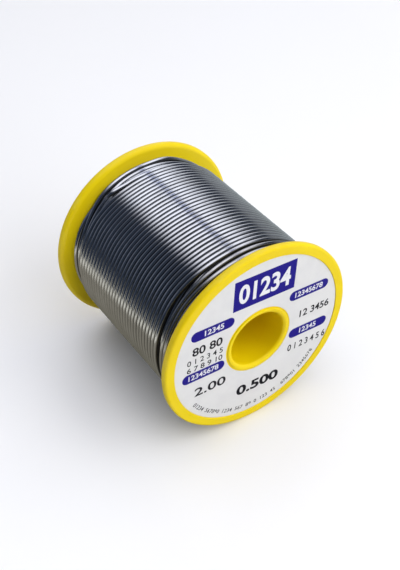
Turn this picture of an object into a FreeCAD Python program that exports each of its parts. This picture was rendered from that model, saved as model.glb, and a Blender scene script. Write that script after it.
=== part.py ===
import FreeCAD, Part
import os
import re
import Sketcher

# Solder wire spool: a moulded spool in two halves, a round label, and wire wound in three layers.
# The spool's axis is Y. The label faces -Y, +Z is up, and the origin is the middle of the bore.
# Angles are taken about the axis from +X, through the top (+Z) at 90 degrees.

SIZES = {
    # the spool as a whole
    "flange_diameter": 80.0,
    "spool_length": 80.0,
    "flange_thickness": 3.5,
    "rim_chamfer": 0.45,
    "bore_diameter": 23.2,
    "bore_mouth_chamfer": 0.6,
    # what one half is moulded with
    "hub_wall": 1.9,
    "barrel_diameter": 61.0,
    "barrel_wall": 1.8,
    "web_thickness": 2.2,
    "rib_count": 6,
    "rib_thickness": 1.4,
    "rib_bite": 0.4,
    # where a half's round faces have their seam, clear of the ribs and of the line that the rims rest on
    "seam_angle": 43.64,
    # the lap joint between the halves
    "lap_length": 6.0,
    "lap_gap": 0.1,
    "rib_setback": 1.0,
    # the label and its recess
    "recess_depth": 0.5,
    "recess_diameter": 72.2,
    "label_diameter": 72.0,
    "label_hole_diameter": 28.6,
    "label_thickness": 0.15,
    # the wire and how it is wound
    "wire_diameter": 1.94,
    "wire_pitch": 1.947,
    "layer_step": 1.678,
    "winding_diameter": 71.6,
    "groove_depth": 0.8,
    "layer_gap": 0.05,
    "top_layer_slots": 34,
    "front_turns": 3,
    "rear_turns": 1,
    "bared_turns": 3,
    "crossover_start": 98.0,
    "crossover_angle": 47.0,
    "tail_angle": 27.0,
}

doc = FreeCAD.newDocument("SolderWireSpool")
sheet = doc.addObject("Spreadsheet::Sheet", "Sizes")
for row, (alias, value) in enumerate(SIZES.items(), start=1):
    sheet.set(f"A{row}", alias)
    sheet.set(f"B{row}", str(value))
    sheet.setAlias(f"B{row}", alias)
doc.recompute()


def bind(thing, prop, formula):
    """Ties a property to a formula in the sheet's names, written without the sheet's own name."""
    thing.setExpression(prop, formula)


def in_sheet(formula):
    """The same formula with every size's name led by the sheet's."""
    return re.sub(r"[a-z_]+", lambda name: f"Sizes.{name[0]}" if name[0] in SIZES else name[0], formula)


def value_of(formula):
    """What a formula comes to with the sheet's present values, in millimetres or degrees."""
    return float(sheet.evalExpression(in_sheet(formula)))


def new_body(label):
    body = doc.addObject("PartDesign::Body", label)
    body.Label = label
    return body


def new_sketch(body, name, plane, turned=0.0):
    """A sketch on one of the body's own planes, which may be turned about the spool's axis."""
    sketch = body.newObject("Sketcher::SketchObject", name)
    base = next(f for f in body.Origin.OriginFeatures if f.Role == plane)
    sketch.AttachmentSupport = [(base, "")]
    sketch.MapMode = "FlatFace"
    about_axis = FreeCAD.Rotation(FreeCAD.Vector(0, 1, 0), -turned)
    sketch.AttachmentOffset = FreeCAD.Placement(FreeCAD.Vector(0, 0, 0), about_axis)
    return sketch


def pin_point(sketch, edge, end, across, along):
    """Ties one point to formulas for its distances from the sketch's origin."""
    for kind, formula in (("DistanceX", across), ("DistanceY", along)):
        rule = sketch.addConstraint(Sketcher.Constraint(kind, -1, 1, edge, end, value_of(formula)))
        bind(sketch, f"Constraints[{rule}]", in_sheet(formula))


def draw_outline(sketch, corners):
    """A closed outline through corners, each given as formulas for its radius and its place on the axis."""
    points = [FreeCAD.Vector(value_of(across), value_of(along), 0) for across, along in corners]
    for here, there in zip(points, points[1:] + points[:1]):
        sketch.addGeometry(Part.LineSegment(here, there), False)
    count = len(corners)
    for edge in range(count):
        sketch.addConstraint(Sketcher.Constraint("Coincident", edge, 2, (edge + 1) % count, 1))
    for edge, (across, along) in enumerate(corners):
        pin_point(sketch, edge, 1, across, along)


def draw_circle(sketch, diameter):
    """A circle about the sketch's origin, with its diameter from the sheet."""
    middle = FreeCAD.Vector(0, 0, 0)
    edge = sketch.addGeometry(Part.Circle(middle, FreeCAD.Vector(0, 0, 1), value_of(diameter) / 2), False)
    sketch.addConstraint(Sketcher.Constraint("Coincident", edge, 3, -1, 1))
    rule = sketch.addConstraint(Sketcher.Constraint("Diameter", edge, value_of(diameter)))
    bind(sketch, f"Constraints[{rule}]", in_sheet(diameter))


def revolve(body, name, sketch, angle="360"):
    """Turns a sketch about the spool's axis, from the sketch's own angle towards smaller angles."""
    turned = body.newObject("PartDesign::Revolution", name)
    turned.Profile = sketch
    turned.ReferenceAxis = (sketch, ["V_Axis"])
    turned.Angle = value_of(angle)
    bind(turned, "Angle", in_sheet(angle))
    sketch.Visibility = False
    return turned


def wind(body, name, sketch, turns, shift, cone="0", to_rear=True):
    """Winds a sketch about the spool's axis towards larger angles, while it shifts along the axis to the rear
    or the front, and outward where a cone's angle is given."""
    coil = body.newObject("PartDesign::AdditiveHelix", name)
    coil.Profile = sketch
    coil.ReferenceAxis = (sketch, ["V_Axis"])
    coil.Mode = "height-turns-angle"
    coil.Turns = value_of(turns)
    bind(coil, "Turns", in_sheet(turns))
    coil.Height = value_of(shift)
    bind(coil, "Height", in_sheet(shift))
    coil.Angle = value_of(cone)
    bind(coil, "Angle", in_sheet(cone))
    coil.LeftHanded = to_rear
    coil.Reversed = not to_rear
    sketch.Visibility = False
    return coil


# Formulas that several pieces share
BORE = "bore_diameter / 2"
HUB = "bore_diameter / 2 + hub_wall"
HUB_LAP = "bore_diameter / 2 + hub_wall / 2"
BARREL = "barrel_diameter / 2"
BARREL_INSIDE = "barrel_diameter / 2 - barrel_wall"
BARREL_LAP = "barrel_diameter / 2 - barrel_wall / 2"
RIM = "flange_diameter / 2"
FACE = "spool_length / 2"
FLANGE = "spool_length / 2 - flange_thickness"


def half_outline(with_spigot):
    """One half of the spool in section, its outer face at +Y: from the bore's mouth round to the joint."""
    outside = [
        (BORE, f"{FACE} - bore_mouth_chamfer"),
        (f"{BORE} + bore_mouth_chamfer", FACE),
        (HUB, FACE),
        (HUB, f"{FACE} - recess_depth"),
        ("recess_diameter / 2", f"{FACE} - recess_depth"),
        ("recess_diameter / 2", FACE),
        (f"{RIM} - rim_chamfer", FACE),
        (RIM, f"{FACE} - rim_chamfer"),
        (RIM, FLANGE),
        (BARREL, FLANGE),
        (BARREL, "0"),
    ]
    web = f"{FACE} - recess_depth - web_thickness"
    if with_spigot:
        inside = [
            (f"{BARREL_LAP} - lap_gap", "0"),
            (f"{BARREL_LAP} - lap_gap", "lap_gap - lap_length"),
            (BARREL_INSIDE, "lap_gap - lap_length"),
            (BARREL_INSIDE, web),
            (HUB, web),
            (HUB, "lap_gap - lap_length"),
            (f"{HUB_LAP} + lap_gap", "lap_gap - lap_length"),
            (f"{HUB_LAP} + lap_gap", "0"),
        ]
    else:
        inside = [
            (BARREL_LAP, "0"),
            (BARREL_LAP, "lap_length"),
            (BARREL_INSIDE, "lap_length"),
            (BARREL_INSIDE, web),
            (HUB, web),
            (HUB, "lap_length"),
            (HUB_LAP, "lap_length"),
            (HUB_LAP, "0"),
        ]
    return outside + inside + [(BORE, "0")]


def spool_half(label, with_spigot, turned):
    """A moulded half: flange, collar, half the barrel and half the hub, with ribs between the two tubes."""
    body = new_body(label)
    section = new_sketch(body, f"{label}_section", "XY_Plane", turned=value_of("seam_angle"))
    draw_outline(section, half_outline(with_spigot))
    revolve(body, f"{label}_shell", section)
    rib_section = new_sketch(body, f"{label}_rib_section", "XY_Plane")
    draw_outline(rib_section, [
        (f"{HUB} - rib_bite", "lap_length + rib_setback"),
        (f"{BARREL_INSIDE} + rib_bite", "lap_length + rib_setback"),
        (f"{BARREL_INSIDE} + rib_bite", f"{FLANGE} + rib_bite"),
        (f"{HUB} - rib_bite", f"{FLANGE} + rib_bite"),
    ])
    rib = body.newObject("PartDesign::Pad", f"{label}_rib")
    rib.Profile = rib_section
    rib.Midplane = True
    rib.Length = value_of("rib_thickness")
    bind(rib, "Length", in_sheet("rib_thickness"))
    rib_section.Visibility = False
    ribs = body.newObject("PartDesign::PolarPattern", f"{label}_ribs")
    ribs.Originals = [rib]
    ribs.Axis = (rib_section, ["V_Axis"])
    ribs.Angle = 360
    ribs.Occurrences = int(value_of("rib_count"))
    bind(ribs, "Occurrences", in_sheet("rib_count"))
    body.Tip = ribs
    body.Placement = FreeCAD.Placement(FreeCAD.Vector(0, 0, 0), FreeCAD.Rotation(turned, 0, 0))
    return body


def front_label():
    """The round label, seated on the floor of the front recess, its printed face towards -Y."""
    body = new_body("front_label")
    outline = new_sketch(body, "label_outline", "XZ_Plane")
    draw_circle(outline, "label_diameter")
    draw_circle(outline, "label_hole_diameter")
    disc = body.newObject("PartDesign::Pad", "label_disc")
    disc.Profile = outline
    disc.Length = value_of("label_thickness")
    bind(disc, "Length", in_sheet("label_thickness"))
    outline.Visibility = False
    body.Tip = disc
    bind(body, "Placement.Base.y", in_sheet("recess_depth - spool_length / 2"))
    return body


# How the wire lies
TOP_CREST = "winding_diameter / 2"
TOP_GROOVE = "winding_diameter / 2 - groove_depth"
MIDDLE_CREST = "winding_diameter / 2 - layer_step"
MIDDLE_GROOVE = "winding_diameter / 2 - layer_step - groove_depth"
UNDER_TOP = "winding_diameter / 2 - layer_step - wire_diameter / 4"
UNDER_MIDDLE = "winding_diameter / 2 - layer_step - wire_diameter"
FRONT_FLANGE = "flange_thickness - spool_length / 2"
SLOTS = int(SIZES["top_layer_slots"])
GAP = int(SIZES["front_turns"])
REAR = int(SIZES["rear_turns"])


def slot_edge(number):
    """Where a turn's slot begins, counted from the front flange."""
    return f"{FRONT_FLANGE} + {number} * wire_pitch"


def turn_ridges(runs, crest, groove, floor, edge_of):
    """The top of a wound layer in section, from runs of slots, each its first slot, how many, and whether
    wire fills them: a ridge for one turn, a bevelled sleeve for tight turns, the floor where none lies."""
    corners = []
    for first, count, filled in runs:
        last = first + count
        if filled:
            corners.append((groove, edge_of(first)))
            corners.append((crest, edge_of(first + 0.5)))
            corners.append((crest, edge_of(last - 0.5)))
            corners.append((groove, edge_of(last)))
        else:
            corners.append((floor, edge_of(first)))
            corners.append((floor, edge_of(last)))
    return [corner for place, corner in enumerate(corners) if corner not in corners[:place]]


def single_turns(first, count):
    """Runs of one turn each, where turns stand apart and show as separate ridges."""
    return [(first + number, 1, True) for number in range(count)]


def layer_outline(ridges, inside):
    return [(inside, ridges[0][1])] + ridges + [(inside, ridges[-1][1])]


def wire_outline(slot):
    """The wire's own section in a slot of the top layer: an octagon with its flats a wire's width apart."""
    across = f"{TOP_CREST} - wire_diameter / 2"
    along = slot_edge(slot + 0.5)
    reach = "wire_diameter / 2 / cos(22.5)"
    angles = [22.5 + 45 * corner for corner in range(8)]
    return [(f"{across} + {reach} * cos({angle})", f"{along} + {reach} * sin({angle})") for angle in angles]


def top_layer():
    """The outer layer. Every turn lies square to the axis but for the crossover, where it moves on one slot.
    The turns by the front flange and the last one are ridges, and a loose turn wanders in the gap behind the
    first three. Those laid tight between are one sleeve. The free end climbs on to the turns before it."""
    body = new_body("solder_top_layer")
    start = value_of("crossover_start")
    end = start + value_of("crossover_angle")
    tight = SLOTS - GAP - 2 - REAR

    square = new_sketch(body, "square_turns_section", "XY_Plane", turned=start)
    runs = single_turns(0, GAP) + [(GAP, 2, False), (GAP + 2, tight, True)] + single_turns(SLOTS - REAR, REAR)
    ridges = turn_ridges(runs, TOP_CREST, TOP_GROOVE, MIDDLE_CREST, slot_edge)
    draw_outline(square, layer_outline(ridges, UNDER_TOP))
    revolve(body, "square_turns", square, "360 - crossover_angle")

    crossing = new_sketch(body, "crossing_turns_section", "XY_Plane", turned=start)
    runs = single_turns(0, GAP) + [(GAP, 1, False), (GAP + 1, 1, True), (GAP + 2, tight - 1, True)]
    runs += single_turns(SLOTS - 1 - REAR, REAR)
    ridges = turn_ridges(runs, TOP_CREST, TOP_GROOVE, MIDDLE_CREST, slot_edge)
    draw_outline(crossing, layer_outline(ridges, UNDER_TOP))
    wind(body, "crossing_turns", crossing, "crossover_angle / 360", "wire_pitch")

    loose = new_sketch(body, "loose_turn_section", "XY_Plane", turned=end)
    ridges = turn_ridges([(GAP, 1, True)], TOP_CREST, TOP_GROOVE, MIDDLE_CREST, slot_edge)
    draw_outline(loose, layer_outline(ridges, UNDER_TOP))
    wind(body, "loose_turn", loose, "(360 - crossover_angle) / 360", "wire_pitch")

    tail = new_sketch(body, "tail_section", "XY_Plane", turned=start)
    draw_outline(tail, wire_outline(SLOTS - 1))
    climb = "atan(layer_step / wire_pitch)"
    body.Tip = wind(body, "free_end", tail, "tail_angle / 360", "wire_pitch", cone=climb, to_rear=False)
    return body


def middle_layer():
    """The layer beneath, which shows its turns where the outer one stops short of the rear flange."""
    body = new_body("solder_middle_layer")
    section = new_sketch(body, "middle_layer_section", "XY_Plane")
    bared = int(value_of("bared_turns"))

    def edge_from_rear(number):
        return f"{FLANGE} - {bared - number} * wire_pitch"

    ridges = turn_ridges(single_turns(0, bared), MIDDLE_CREST, MIDDLE_GROOVE, MIDDLE_CREST, edge_from_rear)
    covered = [
        (UNDER_MIDDLE, FRONT_FLANGE),
        (f"{UNDER_TOP} - layer_gap", FRONT_FLANGE),
        (f"{UNDER_TOP} - layer_gap", edge_from_rear(0)),
    ]
    draw_outline(section, covered + ridges + [(UNDER_MIDDLE, FLANGE)])
    body.Tip = revolve(body, "middle_layer_turns", section)
    return body


def bottom_layer():
    """The layer on the barrel, buried under the other two: a plain sleeve of its outer shape."""
    body = new_body("solder_bottom_layer")
    section = new_sketch(body, "bottom_layer_section", "XY_Plane")
    draw_outline(section, [
        (f"{BARREL} + layer_gap", FRONT_FLANGE),
        (f"{UNDER_MIDDLE} - layer_gap", FRONT_FLANGE),
        (f"{UNDER_MIDDLE} - layer_gap", FLANGE),
        (f"{BARREL} + layer_gap", FLANGE),
    ])
    body.Tip = revolve(body, "bottom_layer_turns", section)
    return body


pieces = [
    spool_half("front_half_spool", with_spigot=True, turned=180),
    spool_half("rear_half_spool", with_spigot=False, turned=0),
    front_label(),
    bottom_layer(),
    middle_layer(),
    top_layer(),
]
doc.recompute()

for thing in doc.Objects:
    if "Invalid" in thing.State or "Error" in thing.State:
        raise RuntimeError(f"{thing.Name} failed: {thing.State}")

os.makedirs("parts", exist_ok=True)
for piece in pieces:
    shape = piece.Shape
    if shape.isNull() or not shape.isValid():
        raise RuntimeError(f"{piece.Label} has no valid shape")
    shape.exportStep(f"parts/{piece.Label}.step")
    box = shape.optimalBoundingBox(False)
    print(f"{piece.Label}: {len(shape.Solids)} solid, {len(shape.Faces)} faces, {shape.Volume:.0f} mm3, "
          f"X {box.XMin:.2f} to {box.XMax:.2f}, Y {box.YMin:.2f} to {box.YMax:.2f}, "
          f"Z {box.ZMin:.2f} to {box.ZMax:.2f}")
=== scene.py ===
import bmesh
import bpy
import math
import random
from functools import partial
from mathutils import Matrix, Vector


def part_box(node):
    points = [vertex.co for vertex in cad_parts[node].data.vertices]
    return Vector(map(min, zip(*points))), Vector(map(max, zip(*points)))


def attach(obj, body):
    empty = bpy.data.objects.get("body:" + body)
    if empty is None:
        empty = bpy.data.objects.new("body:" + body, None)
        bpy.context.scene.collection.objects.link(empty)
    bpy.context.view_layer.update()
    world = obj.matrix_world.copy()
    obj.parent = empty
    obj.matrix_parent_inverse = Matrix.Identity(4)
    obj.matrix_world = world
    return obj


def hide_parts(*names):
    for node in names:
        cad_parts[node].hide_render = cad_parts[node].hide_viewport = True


# Solder wire spool: a yellow moulded spool in two halves, a printed label, and wire wound in three layers.
# The spool's axis is Y, the label faces -Y, and +Z is up. Sizes are in millimetres until a mesh is made,
# and lamps are in metres. Angles are in degrees about the axis, from +X through the top (+Z) at 90.

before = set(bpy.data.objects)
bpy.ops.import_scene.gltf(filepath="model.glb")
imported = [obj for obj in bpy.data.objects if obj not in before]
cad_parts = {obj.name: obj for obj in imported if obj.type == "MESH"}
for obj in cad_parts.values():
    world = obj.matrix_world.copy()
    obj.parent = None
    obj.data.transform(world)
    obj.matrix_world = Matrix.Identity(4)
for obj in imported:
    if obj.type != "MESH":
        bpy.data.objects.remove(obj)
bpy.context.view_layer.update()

MM = 0.001


def edge_of(node, corner, axis):
    """One side of a CAD node's box in millimetres: corner 0 is the low one, 1 the high one."""
    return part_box(node)[corner][axis] / MM


# Sizes read from the frame
RIM = edge_of("front_half_spool", 1, 0)
FRONT_FACE = edge_of("front_half_spool", 0, 1)
REAR_FACE = edge_of("rear_half_spool", 1, 1)
LABEL_FACE = edge_of("front_label", 0, 1)
FRONT_FLANGE = edge_of("solder_bottom_layer", 0, 1)
REAR_FLANGE = edge_of("solder_bottom_layer", 1, 1)
FLANGE_THICKNESS = FRONT_FLANGE - FRONT_FACE

# Sizes of the moulding
BORE = 11.6
HUB = 13.5
HUB_LAP = 12.55
BARREL = 30.5
BARREL_INSIDE = 28.7
BARREL_LAP = 29.6
RECESS = 36.1
RECESS_DEPTH = 0.5
WEB = 2.2
LAP_LENGTH = 6.0
LAP_GAP = 0.1
RIB_COUNT = 6
RIB_THICKNESS = 1.4
RIB_BITE = 0.4
RIB_SETBACK = 1.0
SPOOL_SIDES = 224
SPOOL_CREASE = 35
ROUNDING_STEPS = 6

# Roundings of the moulding's corners
BORE_MOUTH = 1.2
COLLAR_EDGE = 0.25
RECESS_FILLET = 0.12
RECESS_EDGE = 0.18
RIM_FACE_EDGE = 1.0
RIM_BACK_EDGE = 1.6
ROOT_FILLET = 0.3
LAP_FILLET = 0.2
LAP_EDGE = 0.08

# Sizes of the winding. The drawn wire is a little thinner than its slot, so that turns lie clear of each
# other, and a turn lies half a slot from the turns of the layer below.
WIRE = 1.94
DRAWN_WIRE = WIRE * 0.995
LAYER_TURNS = 37
TOP_TURNS = 33
PITCH = (REAR_FLANGE - FRONT_FLANGE) / (LAYER_TURNS + 0.5)
LAYER_STEP = WIRE * math.sin(math.radians(60))
BOTTOM_RADIUS = BARREL + WIRE / 2
WIRE_CREASE = 60

# Where turns move on by one slot, from one angle to the other
TOP_CROSSING = (98, 145)
MIDDLE_CROSSING = (105, 155)

# The last of the close turns by the front flange, and between which angles a close turn spreads
LOOSE_TURN = 3
GAP_END = 205
SPREAD_START = 30

# How the middle layer's first turn rides high: its lift, a hump on it and how far past the crossing it runs
RAISED = 0.5
HUMP = 1.1
HUMP_ANGLES = (55, 76, 90)
RAISED_RUN_OUT = 15

# The free end: its angle, its lift, how thin it is pinched, and its slots at a third and at its tip
FREE_END = 29
FREE_LIFT = 1.2
PINCHED_TIP = 0.3
FREE_SLOTS = (TOP_TURNS + 0.3, TOP_TURNS + 0.85)

# How far a turn strays from its place, drawn anew at each knot
LOOSENESS = 0.03
KNOT_SPACING = 45


# Meshes

def finished(name, mesh, finishes, replaced=()):
    """Makes a mesh a piece of the spool: it rides on the only body and stands for the CAD nodes named."""
    for finish in finishes:
        mesh.materials.append(finish)
    piece = bpy.data.objects.new(name, mesh)
    bpy.context.scene.collection.objects.link(piece)
    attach(piece, "root")
    if replaced:
        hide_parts(*replaced)
    return piece


def mesh_of(name, points, faces):
    """A mesh from points in millimetres, with its faces turned outwards and its corners kept sharp."""
    mesh = bpy.data.meshes.new(name)
    mesh.from_pydata([Vector(point) * MM for point in points], [], faces)
    work = bmesh.new()
    work.from_mesh(mesh)
    bmesh.ops.recalc_face_normals(work, faces=work.faces)
    work.to_mesh(mesh)
    work.free()
    mesh.shade_smooth()
    mesh.set_sharp_from_angle(angle=math.radians(SPOOL_CREASE))
    return mesh


def rounded(corners):
    """A closed outline through corners (radius, place, rounding), each rounding an arc with a guard point
    on either side that keeps the flats beside it flat."""
    outline = []
    count = len(corners)
    for number, (across, along, rounding) in enumerate(corners):
        corner = Vector((across, along))
        before = (Vector(corners[number - 1][:2]) - corner).normalized()
        after = (Vector(corners[(number + 1) % count][:2]) - corner).normalized()
        half = before.angle(after) / 2
        reach = rounding / math.tan(half)
        middle = corner + (before + after).normalized() * rounding / math.sin(half)
        start = (corner + before * reach - middle).normalized()
        end = (corner + after * reach - middle).normalized()
        guard = rounding / 4
        outline.append(corner + before * (reach + guard))
        for step in range(ROUNDING_STEPS + 1):
            outline.append(middle + start.slerp(end, step / ROUNDING_STEPS) * rounding)
        outline.append(corner + after * (reach + guard))
    return outline


def turned(outline, sides):
    """Points and faces of a closed outline turned about the spool's axis."""
    points = []
    for side in range(sides):
        angle = 2 * math.pi * side / sides
        for across, along in outline:
            points.append((across * math.cos(angle), along, across * math.sin(angle)))
    faces = []
    count = len(outline)
    for side in range(sides):
        here = side * count
        there = (side + 1) % sides * count
        for step in range(count):
            following = (step + 1) % count
            faces.append((here + step, here + following, there + following, there + step))
    return points, faces


def add_plate(points, faces, inner, outer, near, far, thickness, angle):
    """Adds a radial plate between two tubes, its middle plane at an angle about the axis."""
    first = len(points)
    turn = Matrix.Rotation(-math.radians(angle), 3, "Y")
    for across in (inner, outer):
        for along in (near, far):
            for side in (-thickness / 2, thickness / 2):
                points.append(tuple(turn @ Vector((across, along, side))))
    for quad in ((0, 1, 3, 2), (4, 5, 7, 6), (0, 1, 5, 4), (2, 3, 7, 6), (0, 2, 6, 4), (1, 3, 7, 5)):
        faces.append(tuple(first + corner for corner in quad))


def half_corners(with_spigot, face, flange):
    """One half in section with its outer face at +Y, as corners with their roundings."""
    outside = [
        (BORE, face, BORE_MOUTH),
        (HUB, face, COLLAR_EDGE),
        (HUB, face - RECESS_DEPTH, RECESS_FILLET),
        (RECESS, face - RECESS_DEPTH, RECESS_FILLET),
        (RECESS, face, RECESS_EDGE),
        (RIM, face, RIM_FACE_EDGE),
        (RIM, flange, RIM_BACK_EDGE),
        (BARREL, flange, ROOT_FILLET),
        (BARREL, 0, LAP_EDGE),
    ]
    web = face - RECESS_DEPTH - WEB
    if with_spigot:
        inside = [
            (BARREL_LAP - LAP_GAP, 0, LAP_EDGE),
            (BARREL_LAP - LAP_GAP, LAP_GAP - LAP_LENGTH, LAP_FILLET),
            (BARREL_INSIDE, LAP_GAP - LAP_LENGTH, LAP_FILLET),
            (BARREL_INSIDE, web, ROOT_FILLET),
            (HUB, web, ROOT_FILLET),
            (HUB, LAP_GAP - LAP_LENGTH, LAP_FILLET),
            (HUB_LAP + LAP_GAP, LAP_GAP - LAP_LENGTH, LAP_FILLET),
            (HUB_LAP + LAP_GAP, 0, LAP_EDGE),
        ]
    else:
        inside = [
            (BARREL_LAP, 0, LAP_FILLET),
            (BARREL_LAP, LAP_LENGTH, LAP_EDGE),
            (BARREL_INSIDE, LAP_LENGTH, LAP_FILLET),
            (BARREL_INSIDE, web, ROOT_FILLET),
            (HUB, web, ROOT_FILLET),
            (HUB, LAP_LENGTH, LAP_FILLET),
            (HUB_LAP, LAP_LENGTH, LAP_EDGE),
            (HUB_LAP, 0, LAP_FILLET),
        ]
    return outside + inside + [(BORE, 0, LAP_EDGE)]


def spool_half(name, node, with_spigot, to_front, finish):
    """A moulded half of the spool, its rim, collar and bore mouth rounded, with the ribs inside."""
    flange = REAR_FACE - FLANGE_THICKNESS
    points, faces = turned(rounded(half_corners(with_spigot, REAR_FACE, flange)), SPOOL_SIDES)
    for rib in range(RIB_COUNT):
        add_plate(
            points,
            faces,
            inner=HUB - RIB_BITE,
            outer=BARREL_INSIDE + RIB_BITE,
            near=LAP_LENGTH + RIB_SETBACK,
            far=flange + RIB_BITE,
            thickness=RIB_THICKNESS,
            angle=360 * rib / RIB_COUNT,
        )
    if to_front:
        points = [(-x, -y, z) for x, y, z in points]
    return finished(name, mesh_of(name, points, faces), [finish], [node])


# Node trees

def add_node(tree, kind, settings, sockets):
    """Adds a node: its settings first, then a value or a link for each named or numbered socket."""
    node = tree.nodes.new(kind)
    for name, value in settings.items():
        setattr(node, name, value)
    for name, value in sockets.items():
        socket = node.inputs[name]
        if isinstance(value, Signal):
            tree.links.new(value.socket, socket)
        else:
            socket.default_value = value
    return node


class Signal:
    """A socket of a node tree that can be used in sums, so that shader maths reads as plain expressions."""

    def __init__(self, tree, socket):
        self.tree = tree
        self.socket = socket

    def maths(self, operation, *values):
        return signal(self.tree, "ShaderNodeMath", {"operation": operation}, dict(enumerate(values)))

    def __add__(self, other):
        return self.maths("ADD", self, other)

    def __radd__(self, other):
        return self.maths("ADD", other, self)

    def __sub__(self, other):
        return self.maths("SUBTRACT", self, other)

    def __rsub__(self, other):
        return self.maths("SUBTRACT", other, self)

    def __mul__(self, other):
        return self.maths("MULTIPLY", self, other)

    def __rmul__(self, other):
        return self.maths("MULTIPLY", other, self)

    def __truediv__(self, other):
        return self.maths("DIVIDE", self, other)

    def __rtruediv__(self, other):
        return self.maths("DIVIDE", other, self)

    def root(self):
        return self.maths("SQRT", self)

    def size(self):
        return self.maths("ABSOLUTE", self)

    def rise(self, low, high):
        """0 below low and 1 above high, with a smooth rise between."""
        sockets = {"Value": self, "From Min": low, "From Max": high, "To Min": 0.0, "To Max": 1.0}
        return signal(self.tree, "ShaderNodeMapRange", {"interpolation_type": "SMOOTHSTEP"}, sockets)

    def band(self, low, high, soft):
        """1 between low and high and 0 outside, with smooth edges."""
        return self.rise(low - soft, low + soft) * (1 - self.rise(high - soft, high + soft))


def signal(tree, kind, settings=None, sockets=None, output=0):
    """A new node's output, as a signal."""
    return Signal(tree, add_node(tree, kind, settings or {}, sockets or {}).outputs[output])


def mixed(tree, factor, first, second):
    """The first colour where the factor is 0 and the second where it is 1."""
    settings = {"data_type": "RGBA", "clamp_factor": True}
    return signal(tree, "ShaderNodeMix", settings, {"Factor": factor, 6: first, 7: second}, output=2)


def parts_of(tree, vector):
    """The x, y and z of a vector, each as a signal."""
    node = add_node(tree, "ShaderNodeSeparateXYZ", {}, {"Vector": vector})
    return [Signal(tree, socket) for socket in node.outputs]


class Finish:
    """A material in the making, with its surface shader and the patterns that its finish is mixed from.
    Each constant is named as its socket is, with underscores for spaces."""

    def __init__(self, name, **constants):
        self.material = bpy.data.materials.new(name)
        self.material.use_nodes = True
        self.tree = self.material.node_tree
        self.add = partial(signal, self.tree)
        self.mixed = partial(mixed, self.tree)
        self.parts_of = partial(parts_of, self.tree)
        self.surface = self.tree.nodes["Principled BSDF"]
        for socket, value in constants.items():
            self.surface.inputs[socket.replace("_", " ")].default_value = value

    def place(self):
        """Where a point is on the spool, in millimetres."""
        coordinates = self.add("ShaderNodeTexCoord", output="Object")
        sockets = {"Vector": coordinates, "Scale": 1 / MM}
        return self.add("ShaderNodeVectorMath", {"operation": "SCALE"}, sockets)

    def joined(self, x, y, z):
        return self.add("ShaderNodeCombineXYZ", {}, {"X": x, "Y": y, "Z": z})

    def noise(self, vector, size, detail=2.0, roughness=0.5, distortion=0.0):
        """Smooth noise from 0 to 1, its largest lumps about size across."""
        sockets = {
            "Vector": vector,
            "Scale": 1 / size,
            "Detail": detail,
            "Roughness": roughness,
            "Distortion": distortion,
        }
        return self.add("ShaderNodeTexNoise", {}, sockets)

    def set(self, socket, value):
        self.tree.links.new(value.socket, self.surface.inputs[socket])

    def bumped(self, height, distance):
        """Raises the surface by a height from 0 to 1 times a distance in millimetres."""
        sockets = {"Height": height, "Distance": distance * MM, "Strength": 1.0}
        self.set("Normal", self.add("ShaderNodeBump", {}, sockets))


def colour(red, green, blue):
    """A colour from its screen values, 0 to 255, in the renderer's own linear scale."""
    def linear(value):
        value = value / 255
        return value / 12.92 if value <= 0.04045 else ((value + 0.055) / 1.055) ** 2.4

    return (linear(red), linear(green), linear(blue), 1.0)


# Finishes

def yellow_plastic():
    """Glossy moulded plastic: faint flow marks, a fine skin, and rims that handling has scuffed."""
    finish = Finish("moulded_yellow_plastic", IOR=1.49, Specular_IOR_Level=0.36)
    place = finish.place()
    x, y, z = finish.parts_of(place)
    radius = (x * x + z * z).root()
    clouds = finish.noise(place, size=22, detail=3)
    flow = finish.noise(finish.joined(radius, y * 0.4, x * 0.2), size=3.5, detail=2, distortion=0.6)
    specks = finish.noise(place, size=0.9, detail=2).rise(0.62, 0.78)
    edge = radius.rise(RIM - 0.8, RIM - 0.1) * y.size().band(REAR_FACE - FLANGE_THICKNESS, REAR_FACE, 0.35)
    scuffs = edge * finish.noise(place, size=4.5, detail=4, roughness=0.65).rise(0.52, 0.7)
    base = finish.mixed(clouds.rise(0.3, 0.7), colour(237, 210, 6), colour(232, 202, 2))
    base = finish.mixed(flow.rise(0.45, 0.8) * 0.35, base, colour(228, 196, 0))
    base = finish.mixed(scuffs * 0.3, base, colour(238, 222, 90))
    base = finish.mixed(specks * 0.06, base, colour(120, 96, 10))
    finish.set("Base Color", base)
    grain = finish.noise(place, size=0.35, detail=2)
    finish.set("Roughness", 0.3 + clouds * 0.08 + scuffs * 0.25 + grain * 0.06)
    finish.bumped(grain * 0.5 + flow * 0.5, distance=0.006)
    return finish.material


def label_paper():
    """The label's coated white paper: a little mottled, with a soft sheen."""
    finish = Finish("coated_label_paper", IOR=1.5, Specular_IOR_Level=0.4)
    place = finish.place()
    x, y, z = finish.parts_of(place)
    radius = (x * x + z * z).root()
    mottle = finish.noise(place, size=7, detail=4, roughness=0.6)
    fibres = finish.noise(finish.joined(x, y, z * 2.5), size=0.22, detail=3)
    # Browned by handling towards the label's edge
    browned_band = radius.rise(34.2, 36.0) * finish.noise(place, size=3, detail=3).rise(0.4, 0.8)
    base = finish.mixed(mottle.rise(0.3, 0.7), colour(221, 220, 218), colour(216, 215, 214))
    base = finish.mixed(fibres * 0.12, base, colour(198, 198, 198))
    base = finish.mixed(browned_band * 0.3, base, colour(204, 200, 180))
    finish.set("Base Color", base)
    finish.set("Roughness", 0.38 + mottle * 0.12 + fibres * 0.06)
    finish.bumped(mottle * 0.8 + fibres * 0.2, distance=0.012)
    return finish.material


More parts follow.
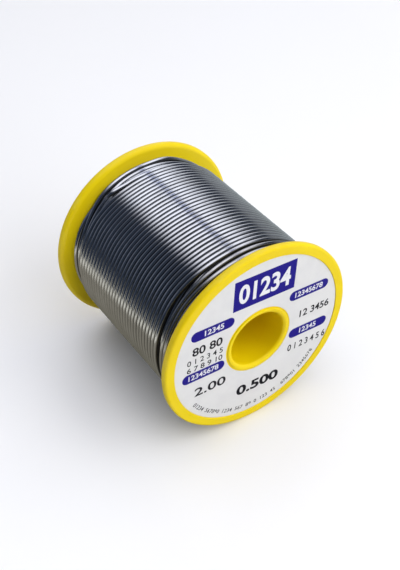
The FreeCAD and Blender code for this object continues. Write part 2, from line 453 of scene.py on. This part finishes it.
def printing_ink(name, solid, worn):
    """Ink printed on the label: a solid colour, a little thinner in places."""
    finish = Finish(name, IOR=1.5, Specular_IOR_Level=0.2)
    place = finish.place()
    thin = finish.noise(place, size=1.1, detail=4, roughness=0.7).rise(0.5, 0.85)
    finish.set("Base Color", finish.mixed(thin * 0.45, solid, worn))
    finish.set("Roughness", 0.36 + thin * 0.2)
    finish.bumped(finish.noise(place, size=0.3, detail=2), distance=0.004)
    return finish.material


def solder():
    """Drawn solder wire: bright grey metal with fine lines along the wire and duller patches of oxide, with a
    painted brown shade over the turns beside the front flange and painted shade down in the grooves between
    the turns."""
    bright = (0.62, 0.63, 0.65, 1)
    oxidised = (0.54, 0.545, 0.555, 1)
    dirt = (0.30, 0.27, 0.23, 1)
    # The brown of the painted shade over the turns beside the front flange
    painted_flange_shade = (0.27, 0.235, 0.19, 1)
    shadow = (0.05, 0.048, 0.045, 1)
    finish = Finish("drawn_solder_wire", Metallic=1.0)
    around = finish.add("ShaderNodeAttribute", {"attribute_name": "wire_side"}, output="Vector")
    along = finish.add("ShaderNodeAttribute", {"attribute_name": "wire_length"}, output="Fac")
    side_x, side_y, _ = finish.parts_of(around)
    lines = finish.noise(finish.joined(side_x * 2.2, side_y * 2.2, along * 0.05), size=0.35, detail=3)
    dents = finish.noise(finish.joined(side_x, side_y, along * 0.3), size=1.6, detail=1)
    place = finish.place()
    oxide = finish.noise(place, size=9, detail=5, roughness=0.6).rise(0.35, 0.75)
    grime = finish.noise(place, size=2.2, detail=4).rise(0.55, 0.8)
    x, y, z = finish.parts_of(place)
    normal_x, _, normal_z = finish.parts_of(finish.add("ShaderNodeTexCoord", output="Normal"))
    outward = (normal_x * x + normal_z * z) / (x * x + z * z).root()
    # Painted shade in the grooves: 1 down between two turns and 0 on a turn's crest, reaching further up the
    # wire towards the front
    groove_shade = 1 - (outward - (1 - y.rise(-20, 20)) * 0.11).rise(0.3, 0.78)
    # Painted shade: the turns beside the front flange turned brown and duller, standing in for the unlit
    # flange that they mirror
    browned_band = (1 - y.rise(-31, -26)) * (0.6 + grime * 0.4)
    base = finish.mixed(oxide, bright, oxidised)
    base = finish.mixed(grime * 0.25, base, dirt)
    # Painted brown shade beside the front flange
    base = finish.mixed(browned_band * 0.6, base, painted_flange_shade)
    # Painted shade: the grooves between the turns darkened nearly to black
    base = finish.mixed(groove_shade * 0.85, base, shadow)
    finish.set("Base Color", base)
    roughness = 0.07 + oxide * 0.06 + lines * 0.04 + grime * 0.08
    finish.set("Roughness", roughness + browned_band * 0.12 + groove_shade * 0.25)
    finish.bumped(lines * 0.6 + dents * 0.4, distance=0.008)
    return finish.material


# The wire

def eased(share):
    """A share from 0 to 1 with a soft start and end."""
    return share * share * (3 - 2 * share)


def slot_from_front(number):
    """The middle of a wire's slot, counted from the front flange."""
    return FRONT_FLANGE + WIRE / 2 + number * PITCH


def slot_from_rear(number):
    """The middle of a wire's slot, counted from the rear flange."""
    return REAR_FLANGE - WIRE / 2 - number * PITCH


def bottom_stations():
    """Where the bottom layer lies: turns square to the axis, each moving on one slot at the crossing."""
    start, end = TOP_CROSSING
    stations = []
    for turn in range(LAYER_TURNS):
        stations.append((360 * turn + end, slot_from_front(turn), BOTTOM_RADIUS))
        stations.append((360 * (turn + 1) + start, slot_from_front(turn), BOTTOM_RADIUS))
    return stations


def middle_stations():
    """The middle layer: it climbs on to the bottom one at the rear flange, where its first turn rides high
    against the flange, and comes back to the front."""
    start, end = MIDDLE_CROSSING
    hump_start, hump_top, hump_end = HUMP_ANGLES
    radius = BOTTOM_RADIUS + LAYER_STEP
    flange = slot_from_rear(0)
    stations = [
        (start, slot_from_front(LAYER_TURNS - 1), BOTTOM_RADIUS),
        (end, flange, radius + RAISED),
        (360 + hump_start, flange, radius + RAISED),
        (360 + hump_top, flange, radius + HUMP),
        (360 + hump_end, flange, radius + RAISED),
        (360 + start + RAISED_RUN_OUT, flange, radius + RAISED),
    ]
    for turn in range(1, LAYER_TURNS):
        stations.append((360 * turn + end, slot_from_rear(turn), radius))
        stations.append((360 * (turn + 1) + start, slot_from_rear(turn), radius))
    return stations


def top_stations():
    """The outer layer: the turns by the front flange lie close, with a gap behind them that they close up by
    spreading as they go round; the rest lie side by side, and the free end lifts off them."""
    start, end = TOP_CROSSING
    radius = BOTTOM_RADIUS + 2 * LAYER_STEP
    stations = [(start, slot_from_rear(LAYER_TURNS - 1), radius - LAYER_STEP)]
    for turn in range(TOP_TURNS):
        first = turn if turn <= LOOSE_TURN else turn + 1
        last = turn * (LOOSE_TURN + 1) / LOOSE_TURN if turn <= LOOSE_TURN else turn + 1
        stations.append((360 * turn + end, slot_from_front(first), radius))
        stations.append((360 * turn + GAP_END, slot_from_front(first), radius))
        stations.append((360 * (turn + 1) + SPREAD_START, slot_from_front(last), radius))
        stations.append((360 * (turn + 1) + start, slot_from_front(last), radius))
    last_crossing = 360 * TOP_TURNS + start
    bend, tip = FREE_SLOTS
    stations.append((last_crossing + FREE_END / 3, slot_from_front(bend), radius))
    stations.append((last_crossing + FREE_END, slot_from_front(tip), radius + FREE_LIFT))
    return stations


def laid_line(stations, step, seed):
    """Points of a wire laid through its stations, each with its distance from the wire's start."""
    draw = random.Random(seed)
    knot_count = int(stations[-1][0] / KNOT_SPACING) + 3
    knots = [(draw.uniform(-1, 1), draw.uniform(-1, 1)) for _ in range(knot_count)]
    points = []
    travelled = 0.0
    angle = stations[0][0]
    number = 0
    while angle <= stations[-1][0]:
        while number < len(stations) - 2 and angle > stations[number + 1][0]:
            number += 1
        (a0, y0, r0), (a1, y1, r1) = stations[number], stations[number + 1]
        share = eased(min(1.0, (angle - a0) / (a1 - a0)))
        knot = int(angle / KNOT_SPACING)
        between = eased(angle / KNOT_SPACING - knot)
        wander = [here + (there - here) * between for here, there in zip(knots[knot], knots[knot + 1])]
        radius = r0 + (r1 - r0) * share + wander[0] * LOOSENESS
        turn = math.radians(angle)
        along = y0 + (y1 - y0) * share + wander[1] * LOOSENESS
        point = Vector((radius * math.cos(turn), along, radius * math.sin(turn)))
        if points:
            travelled += (point - points[-1][0]).length
        points.append((point, travelled))
        angle += step
    return points


def line_mesh(name, line, pinched):
    """The wire's middle line as a chain of edges, with its length and thickness at each point. Its last end
    is pinched over a length in millimetres, unless that is 0."""
    mesh = bpy.data.meshes.new(name)
    count = len(line)
    mesh.from_pydata([point * MM for point, _ in line], [(n, n + 1) for n in range(count - 1)], [])
    lengths = mesh.attributes.new("wire_length", "FLOAT", "POINT")
    thickness = mesh.attributes.new("wire_thickness", "FLOAT", "POINT")
    total = line[-1][1]
    for number, (_, travelled) in enumerate(line):
        lengths.data[number].value = travelled
        left = total - travelled
        thickness.data[number].value = min(1.0, PINCHED_TIP + left / pinched) if pinched else 1.0
    return mesh


def wire_tree():
    """The node tree that gives a line the wire's round section and closes its ends."""
    tree = bpy.data.node_groups.new("wire_section", "GeometryNodeTree")
    inputs = {}
    for name, kind in (
        ("Line", "NodeSocketGeometry"),
        ("Wire diameter", "NodeSocketFloat"),
        ("Sides", "NodeSocketInt"),
        ("Finish", "NodeSocketMaterial"),
    ):
        inputs[name] = tree.interface.new_socket(name, in_out="INPUT", socket_type=kind).identifier
    tree.interface.new_socket("Wire", in_out="OUTPUT", socket_type="NodeSocketGeometry")
    given = add_node(tree, "NodeGroupInput", {}, {})
    node = partial(signal, tree)

    def given_as(name):
        return Signal(tree, given.outputs[name])

    curve = node("GeometryNodeMeshToCurve", {}, {"Mesh": given_as("Line")})
    outward = node(
        "ShaderNodeVectorMath",
        {"operation": "MULTIPLY"},
        {0: node("GeometryNodeInputPosition"), 1: (1.0, 0.0, 1.0)},
    )
    curve = node("GeometryNodeSetCurveNormal", {"mode": "FREE"}, {"Curve": curve, "Normal": outward})
    circle = node(
        "GeometryNodeCurvePrimitiveCircle",
        {"mode": "RADIUS"},
        {"Resolution": given_as("Sides"), "Radius": given_as("Wire diameter") / 2},
    )
    side = node("ShaderNodeVectorMath", {"operation": "NORMALIZE"}, {0: node("GeometryNodeInputPosition")})
    circle = node(
        "GeometryNodeStoreNamedAttribute",
        {"data_type": "FLOAT_VECTOR", "domain": "POINT"},
        {"Geometry": circle, "Name": "wire_side", "Value": side},
    )
    thickness = node("GeometryNodeInputNamedAttribute", {"data_type": "FLOAT"}, {"Name": "wire_thickness"})
    wire = node(
        "GeometryNodeCurveToMesh",
        {},
        {"Curve": curve, "Profile Curve": circle, "Scale": thickness, "Fill Caps": True},
    )
    wire = node("GeometryNodeRealizeInstances", {}, {"Geometry": wire})
    wire = node("GeometryNodeSetMaterial", {}, {"Geometry": wire, "Material": given_as("Finish")})
    add_node(tree, "NodeGroupOutput", {}, {"Wire": wire})
    return tree, inputs


def wound_layer(name, node, stations, step, sides, seed, tree, inputs, finish, pinched=0.0):
    """One layer of the winding as a round wire that replaces the layer's CAD node."""
    line = laid_line(stations, step, seed)
    holder = bpy.data.objects.new(name + "_line", line_mesh(name + "_line", line, pinched))
    bpy.context.scene.collection.objects.link(holder)
    sweep = holder.modifiers.new("wire_section", "NODES")
    sweep.node_group = tree
    sweep[inputs["Wire diameter"]] = DRAWN_WIRE * MM
    sweep[inputs["Sides"]] = sides
    sweep[inputs["Finish"]] = finish
    shown = holder.evaluated_get(bpy.context.evaluated_depsgraph_get())
    mesh = bpy.data.meshes.new_from_object(shown)
    mesh.name = name
    holder.modifiers.remove(sweep)
    bpy.data.objects.remove(holder)
    mesh.shade_smooth()
    mesh.set_sharp_from_angle(angle=math.radians(WIRE_CREASE))
    finished(name, mesh, [], [node])


# The label's print

LABEL_TURN = -2.5
INK_THICKNESS = 0.02
PRINT_UNIT = RIM
CORNER_STEPS = 8
GLYPH_DEPTH = 0.01
WELD = 1e-7


def printed(curve):
    """A curve in the label's plane, made a mesh: across is x and up is y, in shares of the rim's radius."""
    holder = bpy.data.objects.new("print", curve)
    bpy.context.scene.collection.objects.link(holder)
    mesh = bpy.data.meshes.new_from_object(holder.evaluated_get(bpy.context.evaluated_depsgraph_get()))
    bpy.data.objects.remove(holder)
    return mesh


def flat_curve(name):
    """An empty flat curve that is filled and as thick as ink."""
    curve = bpy.data.curves.new(name, "CURVE")
    curve.dimensions = "2D"
    curve.fill_mode = "BOTH"
    curve.extrude = INK_THICKNESS / 2 / PRINT_UNIT
    return curve


def add_loop(curve, points):
    """Adds a closed outline to a flat curve."""
    spline = curve.splines.new("POLY")
    spline.points.add(len(points) - 1)
    for point, (across, up) in zip(spline.points, points):
        point.co = (across, up, 0, 1)
    spline.use_cyclic_u = True


def bar(across, up, width, height, rounding=0.0):
    """The outline of a bar about its middle, its corners rounded."""
    reach = Vector((width / 2 - rounding, height / 2 - rounding))
    outline = []
    for number, (side, top) in enumerate(((1, 1), (-1, 1), (-1, -1), (1, -1))):
        for step in range(CORNER_STEPS + 1 if rounding else 1):
            angle = math.radians(90 * number + 90 * step / CORNER_STEPS)
            corner = Vector((side * reach.x, top * reach.y))
            corner += Vector((math.cos(angle), math.sin(angle))) * rounding
            outline.append(Vector((across, up)) + corner)
    return outline


def numerals(text, across, up, height, width=None, weight=0.0, lean=0.0):
    """Plain numbers about a middle, as tall and, where it is given, as wide as asked, leaning by an angle."""
    curve = bpy.data.curves.new("numerals", "FONT")
    curve.body = text
    curve.offset = weight
    curve.extrude = GLYPH_DEPTH
    mesh = printed(curve)
    low = Vector([min(v.co[axis] for v in mesh.vertices) for axis in range(3)])
    high = Vector([max(v.co[axis] for v in mesh.vertices) for axis in range(3)])
    middle = (low + high) / 2
    reach = high - low
    mesh.transform(Matrix.Translation(-middle))
    mesh.transform(Matrix.Diagonal((
        width / reach.x if width else height / reach.y,
        height / reach.y,
        INK_THICKNESS / PRINT_UNIT / reach.z,
        1,
    )))
    mesh.transform(Matrix.Rotation(math.radians(lean), 4, "Z"))
    mesh.transform(Matrix.Translation((across, up, 0)))
    return mesh


def on_label(name, meshes, finish, inks_below=0):
    """Joins printed shapes into one piece and lays it on the label's face, or on inks printed before it."""
    work = bmesh.new()
    for mesh in meshes:
        work.from_mesh(mesh)
        bpy.data.meshes.remove(mesh)
    turn = Matrix.Rotation(math.radians(LABEL_TURN), 4, "Z")
    stand = Matrix.Rotation(math.radians(90), 4, "X")
    place = Matrix.Translation((0, (LABEL_FACE - inks_below * INK_THICKNESS / 2) * MM, 0))
    scale = Matrix.Scale(PRINT_UNIT * MM, 4)
    bmesh.ops.transform(work, matrix=place @ stand @ turn @ scale, verts=work.verts)
    bmesh.ops.remove_doubles(work, verts=work.verts, dist=WELD)
    bmesh.ops.recalc_face_normals(work, faces=work.faces)
    mesh = bpy.data.meshes.new(name)
    work.to_mesh(mesh)
    work.free()
    finished(name, mesh, [finish])


def numbers_round_the_foot(text, radius, first, last, height):
    """Small plain numbers on an arc about the middle, their tops towards it, from one angle to another."""
    meshes = []
    for place, sign in enumerate(text):
        if sign == " ":
            continue
        angle = first + (last - first) * place / (len(text) - 1)
        across = radius * math.cos(math.radians(angle))
        up = radius * math.sin(math.radians(angle))
        meshes.append(numerals(sign, across, up, height, weight=0.01, lean=angle - 270))
    return meshes


def label_print():
    """The print on the label: a blue block and bars, and plain numbers on them, in rows and round the foot.
    A number's place is across, up, height and width, in shares of the rim's radius."""
    blue = flat_curve("blue_print")
    add_loop(blue, bar(0.019, 0.622, 0.668, 0.328))
    for across, up in ((-0.515, 0.359), (0.543, 0.346), (-0.592, -0.114), (0.592, -0.130)):
        add_loop(blue, bar(across, up, 0.450, 0.112, rounding=0.055))
    on_label(
        "label_blue_print",
        [printed(blue)],
        printing_ink("blue_ink", colour(30, 20, 128), colour(56, 48, 148)),
    )

    meshes = [
        numerals("01234", 0.019, 0.622, 0.21, 0.56, weight=0.03),
        numerals("12345", -0.500, 0.359, 0.062, 0.20, weight=0.02),
        numerals("12345678", 0.543, 0.346, 0.062, 0.32, weight=0.02),
        numerals("12345678", -0.592, -0.114, 0.062, 0.32, weight=0.02),
        numerals("12345", 0.592, -0.130, 0.062, 0.20, weight=0.02),
    ]
    on_label(
        "label_white_print",
        meshes,
        printing_ink("white_ink", colour(226, 226, 228), colour(206, 205, 214)),
        inks_below=1,
    )

    meshes = [
        numerals("80 80", -0.563, 0.186, 0.096, 0.315, weight=0.022),
        numerals("0 1 2 3 4 5", -0.583, 0.074, 0.062, 0.375, weight=0.012),
        numerals("6 7 8 9 10", -0.583, -0.013, 0.062, 0.375, weight=0.012),
        numerals("2.00", -0.510, -0.328, 0.104, 0.340, weight=0.016),
        numerals("0.500", 0.045, -0.577, 0.122, 0.488, weight=0.034),
        numerals("12 3456", 0.643, 0.086, 0.086, 0.350, weight=0.02),
        numerals("0 1 2 3 4 5 6", 0.602, -0.307, 0.084, 0.455, weight=0.018),
    ]
    meshes += numbers_round_the_foot(
        "01234 567890 1234 567 89 0 123 45  678901 2345678",
        radius=0.828,
        first=216,
        last=325,
        height=0.045,
    )
    on_label(
        "label_black_print",
        meshes,
        printing_ink("black_ink", colour(22, 21, 26), colour(60, 58, 63)),
    )


# Floor, light and camera

def floor():
    """A pale table top that the rims rest on. The wire doesn't mirror it: the studio has its own floor."""
    reach = 1500
    points = [(-reach, -reach, -RIM), (reach, -reach, -RIM), (reach, reach, -RIM), (-reach, reach, -RIM)]
    mesh = bpy.data.meshes.new("table_top")
    mesh.from_pydata([Vector(point) * MM for point in points], [], [(0, 1, 2, 3)])
    finish = Finish("pale_table", Roughness=0.6)
    clouds = finish.noise(finish.place(), size=120, detail=3)
    finish.set("Base Color", finish.mixed(clouds, (0.91, 0.90, 0.88, 1), (0.89, 0.88, 0.86, 1)))
    mesh.materials.append(finish.material)
    table = bpy.data.objects.new("table_top", mesh)
    bpy.context.scene.collection.objects.link(table)
    table.visible_glossy = False


def surroundings():
    """What the wire mirrors: two soft boxes overhead with a narrow gap between them, a dim blue room with a
    lighter far wall, a grey wall to the right and, at the left's foot, a bright skirting over warm shade.
    The camera sees plain white. A wire's crest and its flanks mirror different angles of the same zone, so a
    zone is moved by how far its direction lies towards the rear."""
    world = bpy.data.worlds.new("studio")
    bpy.context.scene.world = world
    world.use_nodes = True
    tree = world.node_tree
    background = tree.nodes["Background"]
    mix = partial(mixed, tree)

    x, y, z = parts_of(tree, signal(tree, "ShaderNodeTexCoord", output="Generated"))
    about_axis = z.maths("ARCTAN2", z, x) * (180 / math.pi)
    crest = y.rise(0.35, 0.62)
    not_along = 1 - y.rise(0.76, 0.88)
    from_foot = about_axis + crest * -15
    soft_boxes = (about_axis + crest * 32).rise(36, 66) * (1 - about_axis.rise(103, 127))
    soft_boxes = soft_boxes * (1 - y.rise(0.75, 0.88)) * y.rise(-0.62, -0.42)
    gap = about_axis.band(70, 77, 2) * (0.95 - crest * 0.2)
    right_wall = about_axis.rise(-60, -22) * (1 - (about_axis + crest * 12).rise(19, 30))
    shade = from_foot.rise(-156, -151) * (1 - about_axis.rise(-82, -76)) * not_along
    skirting = from_foot.band(-160.5, -152.5, 2) * not_along
    wall_share = 0.2 + about_axis.rise(-60, 60) * 0.42 + about_axis.band(152, 180, 6) * 0.38
    far_wall = y.band(0.45, 0.93, 0.06) * wall_share

    box_light = mix(gap, (1.46, 1.49, 1.63, 1), (0.33, 0.38, 0.62, 1))
    wall_light = mix(about_axis.rise(-25, 25), (0.43, 0.48, 0.485, 1), (0.25, 0.262, 0.29, 1))
    shade_light = mix(about_axis.rise(-138, -98), (0.295, 0.275, 0.225, 1), (0.19, 0.18, 0.14, 1))
    skirting_light = mix(crest, (0.82, 0.80, 0.70, 1), (1.35, 1.31, 1.16, 1))
    light = mix(far_wall, (0.026, 0.036, 0.058, 1), (0.20, 0.218, 0.272, 1))
    light = mix(right_wall, light, wall_light)
    light = mix(shade, light, shade_light)
    light = mix(skirting, light, skirting_light)
    light = mix(soft_boxes, light, box_light)
    seen = signal(tree, "ShaderNodeLightPath", output="Is Camera Ray")
    light = mix(seen, light, (1.0, 1.0, 1.0, 1))
    tree.links.new(light.socket, background.inputs["Color"])


def soft_lamp(name, place, width, watts):
    """A square soft lamp aimed at the spool. The wire doesn't mirror it: it has the studio's soft boxes."""
    lamp = bpy.data.lights.new(name, "AREA")
    lamp.shape = "SQUARE"
    lamp.size = width
    lamp.energy = watts
    holder = bpy.data.objects.new(name, lamp)
    place = Vector(place)
    holder.matrix_world = Matrix.Translation(place) @ place.to_track_quat("Z", "Y").to_matrix().to_4x4()
    holder.visible_glossy = False
    bpy.context.scene.collection.objects.link(holder)


def photo_camera():
    """The camera of the photograph, found from the outlines of the flange, the label and the bore."""
    place = Vector((-146.842, -219.964, 227.311))
    back = Vector((-0.42164, -0.62581, 0.65619))
    up = Vector((0.36665, 0.54420, 0.75460))
    right = up.cross(back)
    camera = bpy.data.cameras.new("photo_camera")
    camera.sensor_fit = "VERTICAL"
    camera.sensor_height = 36
    camera.lens = 56.65
    camera.clip_start = 0.01
    holder = bpy.data.objects.new("photo_camera", camera)
    turn = Matrix((right, up, back)).transposed().to_4x4()
    holder.matrix_world = Matrix.Translation(place * MM) @ turn
    bpy.context.scene.collection.objects.link(holder)
    bpy.context.scene.camera = holder


# The spool

yellow = yellow_plastic()
spool_half("front_spool_moulding", "front_half_spool", with_spigot=True, to_front=True, finish=yellow)
rear = spool_half("rear_spool_moulding", "rear_half_spool", with_spigot=False, to_front=False, finish=yellow)
# The wire doesn't mirror the rear half, whose yellow would break up into specks down in the grooves
rear.visible_glossy = False

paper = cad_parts["front_label"].data.materials
paper.clear()
paper.append(label_paper())
label_print()

section, section_inputs = wire_tree()
wound = partial(wound_layer, tree=section, inputs=section_inputs, finish=solder())
wound("wire_bottom_layer", "solder_bottom_layer", bottom_stations(), step=6, sides=8, seed=11)
wound("wire_middle_layer", "solder_middle_layer", middle_stations(), step=4, sides=12, seed=12)
wound("wire_top_layer", "solder_top_layer", top_stations(), step=3, sides=20, seed=13, pinched=3.0)

floor()
surroundings()
soft_lamp("front_lamp", (0.4, -1.09, 0.75), width=1.3, watts=15.5)
soft_lamp("rear_lamp", (-1.0, 0.5, 1.1), width=1.2, watts=3.5)
soft_lamp("right_lamp", (1.2, -0.3, 0.7), width=1.0, watts=4)
photo_camera()
bpy.context.scene.view_settings.view_transform = "Standard"
